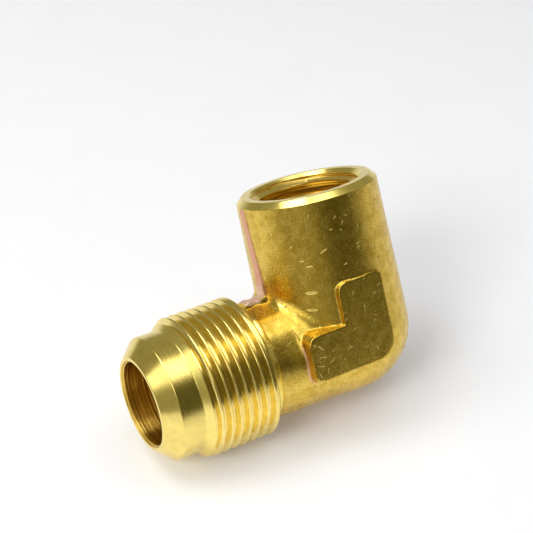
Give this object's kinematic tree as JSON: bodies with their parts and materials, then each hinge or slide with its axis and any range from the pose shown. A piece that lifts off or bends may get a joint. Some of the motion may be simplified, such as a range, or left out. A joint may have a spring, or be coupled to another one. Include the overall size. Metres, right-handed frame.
{
  "type": "flare fitting elbow",
  "caption": "Forged right-angle pipe fitting, a threaded 45 degree flare spout at one end and a female tapered pipe socket at the other, with an L-shaped wrench pad on each side.",
  "frame": {"origin": "where the flare port's axis crosses the pipe port's axis, inside the bend", "axes": "+Z runs out of the female pipe port, +X runs out of the male flare port, the two wrench pads face +Y and -Y, and Y = 0 is the die line of the forging"},
  "size_m": [0.0559, 0.0278, 0.0429],
  "materials": {
    "brass": "satin forged skin with bright machined ends"
  },
  "bodies": {
    "root": {"elbow_body": "brass"}
  },
  "joints": []
}
